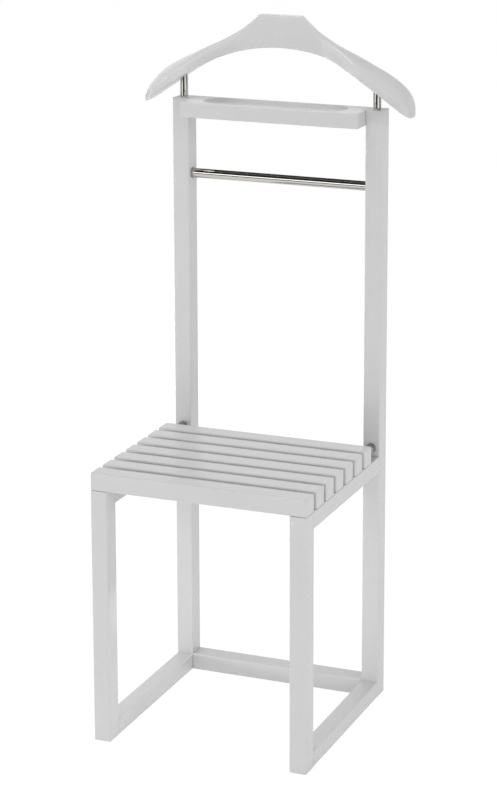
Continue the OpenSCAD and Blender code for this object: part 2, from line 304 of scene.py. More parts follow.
# Satin steel of the sleeves, darkened as painted shade for the shaded post they reflect
SATIN_STEEL_PAINTED_SHADE = polished_steel("y", SATIN_PAINTED_SHADE_COLOUR, SATIN_ROUGHNESS, "satin_steel_painted_shade_")
ZINC = zinc_steel()
BEECH = beech()


# ---------------------------------------------------------------------------------------------
# Making and placing pieces
# ---------------------------------------------------------------------------------------------

SMOOTH_ANGLE = math.radians(38)


def new_object(name, mesh, material):
    piece = bpy.data.objects.new(name, mesh)
    bpy.context.scene.collection.objects.link(piece)
    if material:
        mesh.materials.append(material)
    return piece


def smooth(mesh, angle=SMOOTH_ANGLE):
    mesh.shade_smooth()
    mesh.set_sharp_from_angle(angle=angle)


def lofted(name, rings, material, closed=False):
    """A skin through rings of one number of points; closed joins the last ring to the first."""
    count, total = len(rings[0]), len(rings)
    points = [point for ring in rings for point in ring]
    faces = [
        (a * count + i, a * count + (i + 1) % count, b * count + (i + 1) % count, b * count + i)
        for a, b in ((k, (k + 1) % total) for k in range(total if closed else total - 1))
        for i in range(count)
    ]
    if not closed:
        faces.append(tuple(reversed(range(count))))
        faces.append(tuple(range((total - 1) * count, total * count)))
    mesh = bpy.data.meshes.new(name)
    mesh.from_pydata(points, [], faces)
    shell = bmesh.new()
    shell.from_mesh(mesh)
    bmesh.ops.recalc_face_normals(shell, faces=shell.faces)
    shell.to_mesh(mesh)
    shell.free()
    smooth(mesh)
    return new_object(name, mesh, material)


def settled(piece):
    """Turns a piece's modifiers into its plain mesh."""
    view = bpy.context.evaluated_depsgraph_get()
    mesh = bpy.data.meshes.new_from_object(piece.evaluated_get(view))
    piece.modifiers.clear()
    piece.data = mesh
    return piece


def hand_over(piece, slot, *nodes):
    """Hides the CAD nodes that a finished piece stands for, and lets it ride on its body."""
    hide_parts(*nodes)
    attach(piece, BODY)
    return piece


def add_tree(piece, tree, **values):
    """Puts a geometry tree on a piece, with its inputs set by their identifiers."""
    modifier = piece.modifiers.new(tree.name, "NODES")
    modifier.node_group = tree
    identifiers = {
        item.name: item.identifier
        for item in tree.interface.items_tree
        if item.item_type == "SOCKET" and item.in_out == "INPUT"
    }
    for name, value in values.items():
        modifier[identifiers[name.replace("_", " ")]] = value
    return piece


# ---------------------------------------------------------------------------------------------
# Timber: bars with eased edges, alone or in a row
# ---------------------------------------------------------------------------------------------

EASE_STEPS = 3
LONG_EASE = 1.8 * MM
POST_EASE = 1.2 * MM
END_EASE = 0.7 * MM
SLAT_EASE = 2.4 * MM
SLAT_END_EASE = 2.0 * MM
FLAT_MARGIN = 0.8 * MM


def eased_timber_tree():
    """A cube whose outer rows of points are bent round into eased edges, repeated in a row."""
    tree = bpy.data.node_groups.new("eased timber", "GeometryNodeTree")
    graph = Graph(tree)
    rows = 2 * (EASE_STEPS + 2)
    size = graph.group_inputs(
        {
            "Size": "NodeSocketVector",
            "Ease": "NodeSocketVector",
            "First Place": "NodeSocketVector",
            "Step": "NodeSocketVector",
            "Count": "NodeSocketInt",
            "Finish": "NodeSocketMaterial",
        }
    )
    cube = graph.out(
        "GeometryNodeMeshCube",
        "Mesh",
        None,
        {"Size": (2, 2, 2), "Vertices X": rows, "Vertices Y": rows, "Vertices Z": rows},
    )
    point = graph.out("GeometryNodeInputPosition", "Position")
    side = graph.maths("SIGN", point)
    row = (graph.maths("ABSOLUTE", point) * (rows - 1) - (1, 1, 1)) * 0.5
    turn = graph.maths("MAXIMUM", row - (1, 1, 1), (0, 0, 0)) * (math.radians(45) / EASE_STEPS)
    facing = graph.maths("NORMALIZE", graph.maths("TANGENT", turn) * side)
    margin = graph.maths("MAXIMUM", (1, 1, 1) - row, (0, 0, 0)) * FLAT_MARGIN
    place = side * (size["Size"] * 0.5 - size["Ease"] - margin) + size["Ease"] * facing
    bar = graph.out("GeometryNodeSetPosition", "Geometry", None, {"Geometry": cube, "Position": place})
    bar = graph.out("GeometryNodeSetShadeSmooth", "Geometry", None, {"Geometry": bar})
    line = graph.out(
        "GeometryNodeMeshLine",
        "Mesh",
        {"mode": "OFFSET"},
        {"Count": size["Count"], "Start Location": size["First Place"], "Offset": size["Step"]},
    )
    copies = graph.out(
        "GeometryNodeInstanceOnPoints", "Instances", None, {"Points": line, "Instance": bar}
    )
    solid = graph.out("GeometryNodeRealizeInstances", "Geometry", None, {"Geometry": copies})
    graph.group_output(
        graph.out(
            "GeometryNodeSetMaterial", "Geometry", None, {"Geometry": solid, "Material": size["Finish"]}
        )
    )
    return tree


TIMBER = eased_timber_tree()


def timber(name, nodes, axis, holes=(), long_ease=LONG_EASE, end_ease=END_EASE):
    """Bars of one size along an axis, in place of one CAD node or of an even row of them."""
    lo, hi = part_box(nodes[0])
    last_lo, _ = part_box(nodes[-1])
    ease = [long_ease] * 3
    ease[AXES[axis]] = end_ease
    piece = new_object(name, bpy.data.meshes.new(name), None)
    add_tree(
        piece,
        TIMBER,
        Size=hi - lo,
        Ease=ease,
        First_Place=(lo + hi) / 2,
        Step=(last_lo - lo) / max(1, len(nodes) - 1),
        Count=len(nodes),
        Finish=LACQUER[axis],
    )
    settled(piece)
    if holes:
        drill(piece, holes)
    return hand_over(piece, "white_lacquer", *nodes)


HOLE_SIDES = 48
OVERCUT = 1.0 * MM


def round_ring(centre, axis, radius, sides=HOLE_SIDES):
    """Points of a circle round an axis; radius is a number or a function of the angle."""
    first, second = ((1, 2), (2, 0), (0, 1))[AXES[axis]]
    ring = []
    for i in range(sides):
        angle = 2 * math.pi * i / sides
        reach = radius(angle) if callable(radius) else radius
        point = Vector(centre)
        point[first] += reach * math.cos(angle)
        point[second] += reach * math.sin(angle)
        ring.append(point)
    return ring


def turned(name, centre, axis, profile, material, sides=HOLE_SIDES, closed=False):
    """A turned solid: profile lists (distance along the axis, radius) from end to end."""
    rings = []
    for along, radius in profile:
        point = Vector(centre)
        point[AXES[axis]] += along
        rings.append(round_ring(point, axis, radius, sides))
    return lofted(name, rings, material, closed)


def drill(piece, holes):
    """Cuts turned holes, each (centre, axis, profile), out of a piece."""
    for centre, axis, profile in holes:
        bit = turned("drill_bit", centre, axis, profile, None)
        cut = piece.modifiers.new("hole", "BOOLEAN")
        cut.operation, cut.solver, cut.object = "DIFFERENCE", "EXACT", bit
        settled(piece)
        bpy.data.objects.remove(bit)
    smooth(piece.data)


BOLT_HOLE = 3.1 * MM
RECESS = 5.2 * MM
RECESS_DEPTH = 6.5 * MM
SOCKET_DEPTH = 12.5 * MM
SOCKET_GAP = 0.9 * MM
PIN_HOLE = 4.05 * MM
SCREW_HOLE = 2.05 * MM
HEAD_PLAY = 0.1 * MM
PIN_PLAY = 0.05 * MM
# Room left past the end of a pin, and the least length of a turned step
END_ROOM = 0.5 * MM
STEP_LENGTH = 0.01 * MM


def post_holes(side):
    """The stepped bolt hole through a post, the bar's socket and the pin's socket."""
    post_lo, post_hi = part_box("rear_post_" + side)
    bar_lo, bar_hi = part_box("trouser_bar")
    sleeve_lo, sleeve_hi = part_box("seat_sleeve_" + side)
    pin_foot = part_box("hanger_pin_" + side)[0].z
    middle = (post_lo + post_hi) / 2
    bolt = Vector((middle.x, post_hi.y, (sleeve_lo.z + sleeve_hi.z) / 2))
    depth = post_hi.y - post_lo.y
    outward = 1 if side == "right" else -1
    inner_face = post_lo.x if side == "right" else post_hi.x
    bar_radius = (bar_hi.z - bar_lo.z) / 2 + SOCKET_GAP
    shank = post_hi.z - pin_foot + END_ROOM
    return [
        (
            bolt,
            "y",
            [
                (OVERCUT, RECESS),
                (-RECESS_DEPTH, RECESS),
                (-RECESS_DEPTH - STEP_LENGTH, BOLT_HOLE),
                (-depth - OVERCUT, BOLT_HOLE),
            ],
        ),
        (
            Vector((inner_face, middle.y, (bar_lo.z + bar_hi.z) / 2)),
            "x",
            [(-outward * OVERCUT, bar_radius), (outward * SOCKET_DEPTH, bar_radius)],
        ),
        (
            Vector((middle.x, middle.y, post_hi.z)),
            "z",
            [(OVERCUT, PIN_HOLE), (-shank, PIN_HOLE)],
        ),
    ]


def islands(node):
    """Boxes of the separate solids in a CAD node, as (lowest corner, highest corner)."""
    shell = bmesh.new()
    shell.from_mesh(CAD[node].data)
    bmesh.ops.remove_doubles(shell, verts=shell.verts, dist=1e-6)
    left, found = set(shell.verts), []
    while left:
        group, edge = set(), [left.pop()]
        while edge:
            vertex = edge.pop()
            group.add(vertex)
            for link in vertex.link_edges:
                other = link.other_vert(vertex)
                if other in left:
                    left.remove(other)
                    edge.append(other)
        found.append(
            (
                Vector(min(v.co[i] for v in group) for i in range(3)),
                Vector(max(v.co[i] for v in group) for i in range(3)),
            )
        )
    shell.free()
    return sorted(found, key=lambda pair: tuple(round(c, 5) for c in pair[0]))


def screw_holes(side):
    """Countersunk bores up through a seat rail, one under each screwed slat."""
    rail_lo, rail_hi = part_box("seat_rail_" + side)
    holes = []
    for lo, hi in islands("slat_screws"):
        middle = (lo + hi) / 2
        if rail_lo.x < middle.x < rail_hi.x:
            head, shank = (hi.x - lo.x) / 2 + HEAD_PLAY, SCREW_HOLE
            foot = Vector((middle.x, middle.y, rail_lo.z))
            height = rail_hi.z - rail_lo.z
            profile = [(-OVERCUT, head), (0, head), (head - shank, shank), (height + OVERCUT, shank)]
            holes.append((foot, "z", profile))
    return holes


def make_frame():
    for side in ("left", "right"):
        timber(side + "_rear_post", ["rear_post_" + side], "z", post_holes(side), POST_EASE)
        timber(side + "_front_leg", ["front_leg_" + side], "z")
        timber(side + "_floor_rail", ["floor_rail_" + side], "y")
        timber(side + "_seat_rail", ["seat_rail_" + side], "y", screw_holes(side))
    timber("floor_stretcher", ["rear_stretcher"], "x")
    slats = [f"seat_slat_{i}" for i in range(1, 8)]
    timber("seat_slats", slats, "x", (), SLAT_EASE, SLAT_END_EASE)


# ---------------------------------------------------------------------------------------------
# Tray rail
# ---------------------------------------------------------------------------------------------

TROUGH_END = 30 * MM
TROUGH_RIM = 7 * MM
TROUGH_DEPTH = 6 * MM
TROUGH_CORNER = 26 * MM
TROUGH_LIP = 1.0 * MM
COVE_REACH = 19.0 * MM
COVE_HEIGHT = 5.0 * MM
COVE_STEPS = 14
CORNER_STEPS = 12
ARC_STEPS = 5
LEAST_CORNER = 0.05 * MM


def plan_ring(centre, half_x, half_y, corner, z):
    """A rectangle with round corners, seen from above."""
    ring = []
    for quarter, (sx, sy) in enumerate(((1, 1), (-1, 1), (-1, -1), (1, -1))):
        for step in range(CORNER_STEPS + 1):
            angle = math.pi / 2 * (quarter + step / CORNER_STEPS)
            ring.append(
                Vector(
                    (
                        centre.x + sx * (half_x - corner) + corner * math.cos(angle),
                        centre.y + sy * (half_y - corner) + corner * math.sin(angle),
                        z,
                    )
                )
            )
    return ring


def quarter(start, end, steps=ARC_STEPS):
    """Angles from start to end, in degrees, as (cosine, sine) pairs."""
    for step in range(steps + 1):
        angle = math.radians(start + (end - start) * step / steps)
        yield math.cos(angle), math.sin(angle)


def tray_rail():
    """The rail between the post tops, with a long dished trough for small things in its top."""
    lo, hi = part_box("tray_rail")
    centre, half = (lo + hi) / 2, (hi - lo) / 2
    top, floor = hi.z, hi.z - TROUGH_DEPTH
    trough_x, trough_y = half.x - TROUGH_END, half.y - TROUGH_RIM

    def trough(offset, z):
        return plan_ring(centre, trough_x + offset, trough_y + offset, TROUGH_CORNER + offset, z)

    def outside(inset, z):
        corner = max(LONG_EASE - inset, LEAST_CORNER)
        return plan_ring(centre, half.x - inset, half.y - inset, corner, z)

    rings = [trough(-COVE_REACH - FLAT_MARGIN, floor)]
    for cosine, sine in quarter(-90, 0, COVE_STEPS):
        rings.append(trough((cosine - 1) * COVE_REACH, floor + (1 + sine) * COVE_HEIGHT))
    for cosine, sine in quarter(180, 90):
        rings.append(trough((1 + cosine) * TROUGH_LIP, top - (1 - sine) * TROUGH_LIP))
    rings.append(trough(TROUGH_LIP + FLAT_MARGIN, top))
    rings.append(outside(LONG_EASE + FLAT_MARGIN, top))
    for cosine, sine in quarter(90, 0):
        rings.append(outside((1 - cosine) * LONG_EASE, top - (1 - sine) * LONG_EASE))
    rings.append(outside(0, top - LONG_EASE - FLAT_MARGIN))
    rings.append(outside(0, lo.z + LONG_EASE + FLAT_MARGIN))
    for cosine, sine in quarter(0, -90):
        rings.append(outside((1 - cosine) * LONG_EASE, lo.z + (1 + sine) * LONG_EASE))
    rings.append(outside(LONG_EASE + FLAT_MARGIN, lo.z))
    piece = lofted("tray_rail_with_trough", rings, LACQUER["x"])
    return hand_over(piece, "white_lacquer", "tray_rail")


# ---------------------------------------------------------------------------------------------
# Hanger
# ---------------------------------------------------------------------------------------------

HANGER_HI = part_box("hanger")[1]
POST_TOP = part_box("rear_post_right")[1].z
TIP_X = 229 * MM
TIP_FLAT = 0.3 * MM
CROWN_Z = HANGER_HI.z
CROWN_H = 52 * MM
CROWN_HALF = 35 * MM
CROWN_T = 18 * MM
SHOULDER_T = 44 * MM
ARCH_Z = CROWN_Z - CROWN_H
ARCH_R = 276 * MM
WING_ANGLE = math.radians(34.5)
SHOULDER_ANGLE = math.radians(23.5)
NECK_ANGLE = math.radians(44)
NECK_RUN = 66 * MM
FLARE_RUN = 80 * MM
SHOULDER_RUN = 62 * MM
SHOULDER_POWER = 2.6
LIP_T = 24 * MM
LIP_SHARE = 0.6
TIP_R = 4 * MM
PLAN_FRONT_R = 18 * MM
PLAN_BACK_R = 18 * MM
BACK_Y = HANGER_HI.y
CORNER_SHARE = 0.45
CROWN_R = 2.5 * MM
# Back foot, back top, front ridge and front foot
CORNER_RADII = (4 * MM, 18 * MM, 7 * MM, 3 * MM)
DOME_SHARE = 0.4
FRONT_SHARE = 0.5
ROUNDING_STEPS = 10
# Sections along one half: crown, neck, slope and shoulder
CROWN_CUTS = 4
NECK_CUTS = 20
SLOPE_CUTS = 12
SHOULDER_CUTS = 20

NECK_END_X = CROWN_HALF + NECK_RUN
NECK_R = NECK_RUN / (math.sin(NECK_ANGLE) - math.sin(SHOULDER_ANGLE))
NECK_END_Z = CROWN_Z - NECK_R * (math.cos(SHOULDER_ANGLE) - math.cos(NECK_ANGLE))
ARCH_END_X = ARCH_R * math.sin(WING_ANGLE)
ARCH_END_Z = ARCH_Z - ARCH_R * (1 - math.cos(WING_ANGLE))
SHOULDER_X = TIP_X - SHOULDER_RUN


def ease(t):
    t = min(1.0, max(0.0, t))
    return t * t * (3 - 2 * t)


def quarter_lift(distance, radius):
    """How far a quarter circle has risen at a distance past its start."""
    if distance <= 0:
        return 0.0
    return radius - math.sqrt(max(0.0, radius * radius - distance * distance))


def under_line(x):
    if x < ARCH_END_X:
        return ARCH_Z - ARCH_R + math.sqrt(ARCH_R**2 - x * x)
    return ARCH_END_Z - (x - ARCH_END_X) * math.tan(WING_ANGLE)


def under_z(x):
    return under_line(x) + quarter_lift(x - (TIP_X - TIP_R), TIP_R)


def slope_z(x):
    return NECK_END_Z - (x - NECK_END_X) * math.tan(SHOULDER_ANGLE)


SHOULDER_DROP = slope_z(TIP_X) - under_line(TIP_X) - TIP_R


def top_z(x):
    if x <= CROWN_HALF:
        return CROWN_Z
    if x <= NECK_END_X:
        sine = math.sin(NECK_ANGLE) - (x - CROWN_HALF) / NECK_R
        return CROWN_Z - NECK_R * (math.sqrt(1 - sine * sine) - math.cos(NECK_ANGLE))
    u = max(0.0, (x - SHOULDER_X) / SHOULDER_RUN)
    fall = 1 - max(0.0, 1 - u**SHOULDER_POWER) ** (1 / SHOULDER_POWER)
    return slope_z(x) - SHOULDER_DROP * fall


def hanger_corners(x):
    """Back foot, back top, front ridge and front foot of one section, as (y, z).

    Two more lists say how much of the edge before and after each corner is rounded away.
    """
    back_inset, front_inset = (
        quarter_lift(x - (TIP_X - radius), radius) for radius in (PLAN_BACK_R, PLAN_FRONT_R)
    )
    ridge_start, ridge_end = CROWN_HALF + NECK_RUN / 2, SHOULDER_X + SHOULDER_RUN / 2
    thick = CROWN_T + (SHOULDER_T - CROWN_T) * ease((x - ridge_start) / FLARE_RUN)
    ridge = ease((x - ridge_start) / (ridge_end - ridge_start))
    low, high = under_z(x), top_z(x)
    height = high - low
    front = height * (1 - ridge) + min(LIP_T, LIP_SHARE * height) * ridge
    back_y, front_y = BACK_Y - back_inset, BACK_Y - thick + front_inset
    most = CORNER_SHARE * min(height, back_y - front_y)
    front_most = min(most, CORNER_SHARE * front)
    grow = ease((x - CROWN_HALF) / NECK_RUN)
    radii = [
        min(limit, CROWN_R + (radius - CROWN_R) * grow)
        for radius, limit in zip(CORNER_RADII, (most, most, front_most, front_most))
    ]
    places = [(back_y, low), (back_y, high), (front_y, low + front), (front_y, low)]
    corners = [Vector(place) for place in places]
    slope_dome = DOME_SHARE * grow * (corners[2] - corners[1]).length
    front_dome = FRONT_SHARE * grow * front
    reaches = [[*radii[:2], max(radii[2], dome), radii[3]] for dome in (slope_dome, front_dome)]
    return corners, *reaches


def hanger_ring(x):
    """One section of the hanger with its corners rounded."""
    corners, reaches_before, reaches_after = hanger_corners(abs(x))
    ring = []
    for i, corner in enumerate(corners):
        before, after = corners[i - 1], corners[(i + 1) % 4]
        start = corner + (before - corner).normalized() * reaches_before[i]
        end = corner + (after - corner).normalized() * reaches_after[i]
        for step in range(ROUNDING_STEPS + 1):
            t = step / ROUNDING_STEPS
            point = start * (1 - t) ** 2 + corner * (2 * t * (1 - t)) + end * t * t
            ring.append(Vector((x, point.x, point.y)))
    return ring


def hanger():
    """The contoured hanger, with the two holes that take its pins."""
    slope_run, shoulder_run = SHOULDER_X - NECK_END_X, SHOULDER_RUN - TIP_FLAT
    half = [CROWN_HALF * i / CROWN_CUTS for i in range(CROWN_CUTS)]
    half += [CROWN_HALF + NECK_RUN * i / NECK_CUTS for i in range(NECK_CUTS)]
    half += [NECK_END_X + slope_run * i / SLOPE_CUTS for i in range(SLOPE_CUTS)]
    for i in range(SHOULDER_CUTS + 1):
        half.append(SHOULDER_X + shoulder_run * math.sin(math.pi / 2 * i / SHOULDER_CUTS))
    stations = [-x for x in reversed(half[1:])] + half
    piece = lofted("contoured_hanger", [hanger_ring(x) for x in stations], LACQUER["x"])
    holes = []
    for side in ("left", "right"):
        lo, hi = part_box("hanger_pin_" + side)
        radius = (hi.x - lo.x) / 2 + PIN_PLAY
        foot = Vector(((lo.x + hi.x) / 2, (lo.y + hi.y) / 2, POST_TOP))
        holes.append((foot, "z", [(0, radius), (hi.z - POST_TOP + END_ROOM, radius)]))
    drill(piece, holes)
    return hand_over(piece, "white_lacquer", "hanger")


# ---------------------------------------------------------------------------------------------
# Steel pieces
# ---------------------------------------------------------------------------------------------

ROUND_SIDES = 64
PIN_CHAMFER = 0.5 * MM
GROOVE_DEPTH = 1.3 * MM
GROOVE_HEIGHT = 1.3 * MM
SHANK_R = 4.0 * MM
BAR_WALL = 1.5 * MM
BAR_EASE = 0.5 * MM
SLEEVE_WALL = 4.9 * MM
SLEEVE_EASE = 1.0 * MM


def hanger_pin(side):
    """A shouldered pin: a thin shank in the post, a groove at the foot and a thick polished body."""
    lo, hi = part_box("hanger_pin_" + side)
    radius = (hi.x - lo.x) / 2
    foot = Vector(((lo.x + hi.x) / 2, (lo.y + hi.y) / 2, POST_TOP))
    shank, top = lo.z - foot.z, hi.z - foot.z
    profile = [
        (shank, SHANK_R - PIN_CHAMFER),
        (shank + PIN_CHAMFER, SHANK_R),
        (0.0, SHANK_R),
        (0.0, radius - GROOVE_DEPTH),
        (GROOVE_HEIGHT, radius - GROOVE_DEPTH),
        (GROOVE_HEIGHT, radius - PIN_CHAMFER),
        (GROOVE_HEIGHT + PIN_CHAMFER, radius),
        (top - PIN_CHAMFER, radius),
        (top, radius - PIN_CHAMFER),
    ]
    piece = turned(side + "_polished_pin", foot, "z", profile, STEEL["z"], ROUND_SIDES)
    return hand_over(piece, "polished_steel", "hanger_pin_" + side)


def tube(name, node, axis, wall, ease_r, material):
    """A steel tube with eased ends, along an axis."""
    lo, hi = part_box(node)
    half = (hi - lo)[AXES[axis]] / 2
    outer = (hi - lo)[(AXES[axis] + 1) % 3] / 2
    profile = [
        (-half, outer - ease_r),
        (-half + ease_r, outer),
        (half - ease_r, outer),
        (half, outer - ease_r),
        (half, outer - wall),
        (-half, outer - wall),
    ]
    piece = turned(name, (lo + hi) / 2, axis, profile, material, ROUND_SIDES, True)
    return hand_over(piece, "polished_steel", node)


def make_steel():
    tube("polished_trouser_bar", "trouser_bar", "x", BAR_WALL, BAR_EASE, STEEL["x"])
    for side in ("left", "right"):
        node = "seat_sleeve_" + side
        tube(side + "_seat_sleeve", node, "y", SLEEVE_WALL, SLEEVE_EASE, SATIN_STEEL_PAINTED_SHADE)
        hanger_pin(side)


# ---------------------------------------------------------------------------------------------
# Fasteners: one pattern of each kind, repeated over the solids of its CAD node
# ---------------------------------------------------------------------------------------------

FLUTES = 16
FLUTE_DEPTH = 0.35 * MM
DOWEL_CHAMFER = 1.0 * MM
DOWEL_SIDES = 96
THREAD_SIDES = 32
HEAD_CHAMFER = 0.4 * MM

BOLT_SHANK = 3.0 * MM
BOLT_CORE = 2.6 * MM
BOLT_HEAD_H = 6.0 * MM
BOLT_TIP = 0.5 * MM
BOLT_THREAD_END = 22.5 * MM
BOLT_PITCH = 1.0 * MM
KEY_ACROSS = 5.0 * MM
KEY_DEPTH = 3.0 * MM

INSERT_BORE = 3.05 * MM
INSERT_THREAD = 0.5 * MM
INSERT_PITCH = 2.0 * MM
INSERT_END = 1.0 * MM

SCREW_SHANK = 2.0 * MM
SCREW_CORE = 1.4 * MM
SCREW_RIM = 0.15 * MM
SCREW_PLAIN_END = 14.0 * MM
SCREW_PITCH = 2.0 * MM
SCREW_POINT = 4.0 * MM
SCREW_TIP = 0.2 * MM
THREAD_RUN_IN = 0.5 * MM
# Depth of the cross recess, then reach and width of its arms at the top and at its floor
CROSS_DEPTH = 1.8 * MM
CROSS_TOP = (2.4 * MM, 1.1 * MM)
CROSS_FLOOR = (1.2 * MM, 0.9 * MM)


def fastener_tree():
    """Puts a pattern on every point of a mesh and gives the copies one finish."""
    tree = bpy.data.node_groups.new("repeated fastener", "GeometryNodeTree")
    graph = Graph(tree)
    given = graph.group_inputs(
        {"Places": "NodeSocketGeometry", "Pattern": "NodeSocketObject", "Finish": "NodeSocketMaterial"}
    )
    spots = graph.out("GeometryNodeMeshToPoints", "Points", None, {"Mesh": given["Places"]})
    pattern = graph.out("GeometryNodeObjectInfo", "Geometry", None, {"Object": given["Pattern"]})
    copies = graph.out(
        "GeometryNodeInstanceOnPoints", "Instances", None, {"Points": spots, "Instance": pattern}
    )
    solid = graph.out("GeometryNodeRealizeInstances", "Geometry", None, {"Geometry": copies})
    graph.group_output(
        graph.out(
            "GeometryNodeSetMaterial", "Geometry", None, {"Geometry": solid, "Material": given["Finish"]}
        )
    )
    return tree


FASTENERS = fastener_tree()


def repeated(node, axis, profile, finish, slot, sides=HOLE_SIDES, closed=False):
    """A turned pattern in the middle of every solid of a CAD node."""
    pattern = turned("pattern", Vector(), axis, profile, None, sides, closed)
    places = bpy.data.meshes.new(node)
    places.from_pydata([(lo + hi) / 2 for lo, hi in islands(node)], [], [])
    piece = new_object("turned_" + node, places, None)
    add_tree(piece, FASTENERS, Pattern=pattern, Finish=finish)
    settled(piece)
    bpy.data.objects.remove(pattern)
    return hand_over(piece, slot, node)


def half_size(node, axis):
    """Half the length and the largest radius of one solid of a CAD node."""
    lo, hi = islands(node)[0]
    return (hi - lo)[AXES[axis]] / 2, (hi - lo)[(AXES[axis] + 1) % 3] / 2


def fluted(radius):
    """The outline of a fluted dowel, round its axis."""
    return lambda angle: radius - FLUTE_DEPTH * max(0.0, math.cos(FLUTES * angle)) ** 2


def hexagon(across):
    """The outline of a hexagon socket, by its width across the flats."""
    sixth = math.pi / 3
    return lambda angle: across / 2 / math.cos((angle + sixth / 2) % sixth - sixth / 2)


def cross(reach, width):
    """The outline of a cross recess, round its axis."""
    turn = math.pi / 2

    def radius(angle):
        aside = abs(math.sin((angle + turn / 2) % turn - turn / 2))
        return min(reach, width / 2 / max(aside, 1e-6))

    return radius


def threaded(core, crest, pitch, start, end):
    """The flanks of a thread, as steps of a turned profile."""
    turns = int((end - start) / pitch)
    return [
        (start + (turn + share) * pitch, radius)
        for turn in range(turns)
        for share, radius in ((0.0, core), (0.5, crest))
    ]


def dowels(node, axis):
    """Fluted dowels with chamfered ends."""
    half, radius = half_size(node, axis)
    profile = [
        (-half, radius - DOWEL_CHAMFER),
        (DOWEL_CHAMFER - half, fluted(radius)),
        (half - DOWEL_CHAMFER, fluted(radius)),
        (half, radius - DOWEL_CHAMFER),
    ]
    repeated(node, axis, profile, BEECH, "beech", DOWEL_SIDES)


def seat_bolts(node):
    """A socket-head bolt, with its thread where it meets the insert."""
    half, head = half_size(node, "y")
    seat = half - BOLT_HEAD_H
    profile = [(-half, BOLT_CORE - HEAD_CHAMFER)]
    profile += threaded(BOLT_CORE, BOLT_SHANK, BOLT_PITCH, BOLT_TIP - half, BOLT_THREAD_END - half)
    profile += [
        (BOLT_THREAD_END + THREAD_RUN_IN - half, BOLT_SHANK),
        (seat, BOLT_SHANK),
        (seat, head - HEAD_CHAMFER / 2),
        (seat + HEAD_CHAMFER / 2, head),
        (half - HEAD_CHAMFER, head),
        (half, head - HEAD_CHAMFER),
        (half, hexagon(KEY_ACROSS)),
        (half - KEY_DEPTH, hexagon(KEY_ACROSS)),
    ]
    repeated(node, "y", profile, ZINC, "zinc_steel")


def bolt_inserts():
    """Threaded inserts: a coarse thread outside and a plain bore."""
    half, crest = half_size("seat_bolt_inserts", "y")
    core = crest - INSERT_THREAD
    profile = [(-half, INSERT_BORE), (-half, core)]
    profile += threaded(core, crest, INSERT_PITCH, INSERT_END - half, half - INSERT_END)
    profile += [(half - HEAD_CHAMFER, crest), (half, core), (half, INSERT_BORE)]
    repeated("seat_bolt_inserts", "y", profile, ZINC, "zinc_steel", THREAD_SIDES, True)


def slat_screws():
    """Countersunk wood screws with a cross recess, pointing up."""
    half, head = half_size("slat_screws", "z")
    plain_end, point = SCREW_PLAIN_END - half, half - SCREW_POINT
    profile = [
        (CROSS_DEPTH - half, cross(*CROSS_FLOOR)),
        (-half, cross(*CROSS_TOP)),
        (-half, head - SCREW_RIM),
        (SCREW_RIM - half, head),
        (SCREW_RIM + head - SCREW_SHANK - half, SCREW_SHANK),
        (plain_end, SCREW_SHANK),
    ]
    profile += threaded(SCREW_CORE, SCREW_SHANK, SCREW_PITCH, plain_end + THREAD_RUN_IN, point)
    profile += [(point, (SCREW_CORE + SCREW_SHANK) / 2), (half, SCREW_TIP)]
    repeated("slat_screws", "z", profile, ZINC, "zinc_steel")


def make_fasteners():
    for node, axis in (
        ("floor_rail_dowels", "y"),
        ("seat_rail_dowels", "y"),
        ("stretcher_dowels", "x"),
        ("tray_dowels", "x"),
        ("leg_top_dowels", "z"),
    ):
        dowels(node, axis)
    for side in ("left", "right"):
        seat_bolts("seat_bolt_" + side)
    bolt_inserts()
    slat_screws()


# ---------------------------------------------------------------------------------------------
# Studio and camera
# ---------------------------------------------------------------------------------------------

PHOTO_HEIGHT_PX = 800
SENSOR = 36.0
CLIP_END = 100.0
CAMERA = {
    "azimuth": 22.30,
    "elevation": 12.74,
    "roll": -0.16,
    "distance": 3.988,
    "focal_px": 2568.0,
    "raised": 0.20,
    "target": (0.0167, -0.009, 0.7944),
}
WORLD_LIGHT = 0.63
FLOOR_SIZE = 30.0
FLOOR_COLOUR = (0.95, 0.95, 0.95, 1)
FLOOR_GLOW = 1.05
FLOOR_WHITENING = 0.88
WHITE = (1, 1, 1, 1)
# Dark and grey of the cards that only glossy rays meet: painted reflections in the steel and lacquer
PAINTED_DARK_REFLECTION = (0.03, 0.03, 0.03, 1)
PAINTED_GREY_REFLECTION = (0.24, 0.24, 0.24, 1)
# Grey of the card under the tray rail: painted shade for the rail's shaded underside, seen in the
# trouser bar
PAINTED_SHADE_GREY = (0.14, 0.14, 0.14, 1)
# Left, right, front and back edge of the black card overhead, and its height: a painted dark reflection,
# since only glossy rays meet it
PAINTED_REFLECTION_CEILING = (-4.0, 4.0, -4.6, 4.2, 3.3)
FLAG_GAP = 1.0 * MM
# Low cards and glowing strips in a ring, as bearings in degrees from the front towards +X: the dark and
# grey cards are painted reflections and the strips painted highlights, met by glossy rays alone
PAINTED_REFLECTION_CARDS = [
    (-140, -58, PAINTED_DARK_REFLECTION),
    (-33, 6, PAINTED_DARK_REFLECTION),
    (6, 36, PAINTED_GREY_REFLECTION),
    (62, 106, PAINTED_DARK_REFLECTION),
    (106, 128, PAINTED_GREY_REFLECTION),
]
RING_PAINTED_HIGHLIGHTS = [(-57, -33), (38, 60)]
RING_R = 2.0
RING_HEIGHTS = (0.52, 0.95)
PAINTED_HIGHLIGHT_HEIGHTS = (0.57, 0.74)
# Glow of the strips that light nothing and show only in reflections: painted highlights
PAINTED_HIGHLIGHT_GLOW = 1.8
RING_STEP = 20
SEAT = (0, 0, 0.5)
LEGS = (0, 0, 0.25)
REAR_FOOT = (0, 0.03, 0)
